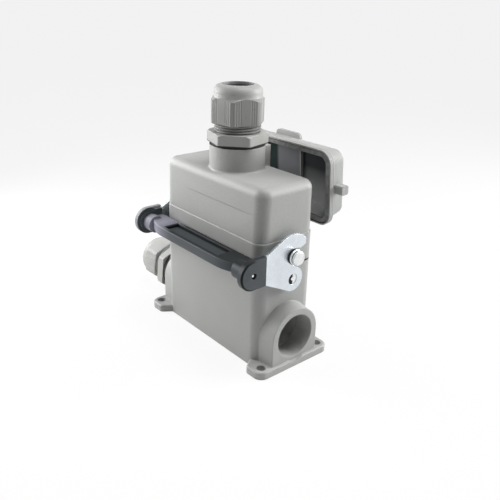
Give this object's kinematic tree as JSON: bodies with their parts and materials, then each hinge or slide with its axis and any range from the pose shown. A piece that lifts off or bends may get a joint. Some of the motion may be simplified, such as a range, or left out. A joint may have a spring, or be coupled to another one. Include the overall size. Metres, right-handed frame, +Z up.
{
  "type": "heavy duty rectangular connector",
  "caption": "Heavy duty rectangular connector: surface-mounted base with plugged hood, locking lever, cable glands, open side entry and hinged protective cover.",
  "frame": {"origin": "centre of the base's mounting face, in the middle of the four fixing holes", "axes": "+Z up from the mounting face to the hood's cable gland; X along the connector, +X to the open cable entry; -Y towards the lever's bar, +Y towards the open cover"},
  "size_m": [0.1521, 0.0848, 0.1557],
  "materials": {
    "housing": "fine grey powder coat on die-cast aluminium",
    "gland": "light grey moulded polyamide, satin",
    "cover": "light grey moulded plastic, satin",
    "lever": "charcoal moulded plastic, satin",
    "zinc": "bright zinc-plated steel",
    "rubber": "black nitrile rubber",
    "gasket": "dark grey rubber",
    "insert": "pale polycarbonate",
    "contact": "silver-plated brass"
  },
  "bodies": {
    "shell": {"base_housing": "housing", "hood_housing": "housing", "rim_seal": "rubber", "female_insert": "insert", "male_insert": "insert", "female_contacts": "contact", "male_contacts": "contact", "female_insert_screws": "zinc", "male_insert_screws": "zinc", "female_earth_clips": "zinc", "male_earth_clips": "zinc", "hood_pegs": "zinc", "lever_pivot_studs": "zinc", "cover_hinge_pin": "zinc", "top_gland_washer": "rubber", "end_gland_washer": "rubber", "top_gland_seal": "rubber", "end_gland_seal": "rubber", "top_gland_body": "gland", "end_gland_body": "gland"},
    "lever": {"lever_handle": "lever", "lever_plate_left": "zinc", "lever_plate_right": "zinc", "lever_rivets": "zinc"},
    "cover": {"protective_cover": "cover", "cover_gasket": "gasket"},
    "top_nut": {"top_gland_nut": "gland"},
    "end_nut": {"end_gland_nut": "gland"}
  },
  "joints": [
    {"name": "lever_swing", "type": "hinge", "parent": "shell", "child": "lever", "pos_m": [0, 0, 0.0543], "axis": [1, 0, 0], "range_deg": [0, 50]},
    {"name": "cover_swing", "type": "hinge", "parent": "shell", "child": "cover", "pos_m": [0, 0.0353, 0.0646], "axis": [1, 0, 0], "range_deg": [0, 8]},
    {"name": "top_nut_turn", "type": "hinge", "parent": "shell", "child": "top_nut", "pos_m": [0, 0, 0.145], "axis": [0, 0, 1], "range_deg": [-1080, 2160]},
    {"name": "end_nut_turn", "type": "hinge", "parent": "shell", "child": "end_nut", "pos_m": [-0.083, 0, 0.0193], "axis": [-1, 0, 0], "range_deg": [-1080, 2160]}
  ]
}
